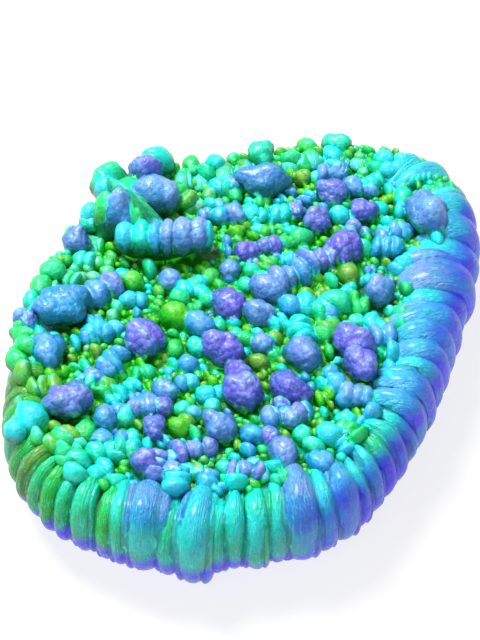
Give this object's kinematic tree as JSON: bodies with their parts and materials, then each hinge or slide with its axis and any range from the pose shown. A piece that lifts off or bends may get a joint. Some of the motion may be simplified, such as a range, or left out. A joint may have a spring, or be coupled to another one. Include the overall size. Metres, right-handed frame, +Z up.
{
  "type": "fleshy plate coral",
  "caption": "Low plate of fleshy stony coral with a swollen pleated rim, a bed of round knobs and stacked folds, and a raised curled ridge at one side; rests on its flat cut",
  "frame": {"origin": "middle of the flat cut underneath, where the colony grew on its rock", "axes": "+Z up through the plate, +Y away from the swollen front pleats, +X to the side of the steep pleated rim"},
  "size_m": [0.1191, 0.1306, 0.0359],
  "materials": {
    "coral_flesh": "wet satin flesh, cyan and teal pleats, lavender knobs, green between them, violet low on the rim"
  },
  "bodies": {
    "root": {"coral": "coral_flesh"}
  },
  "joints": []
}
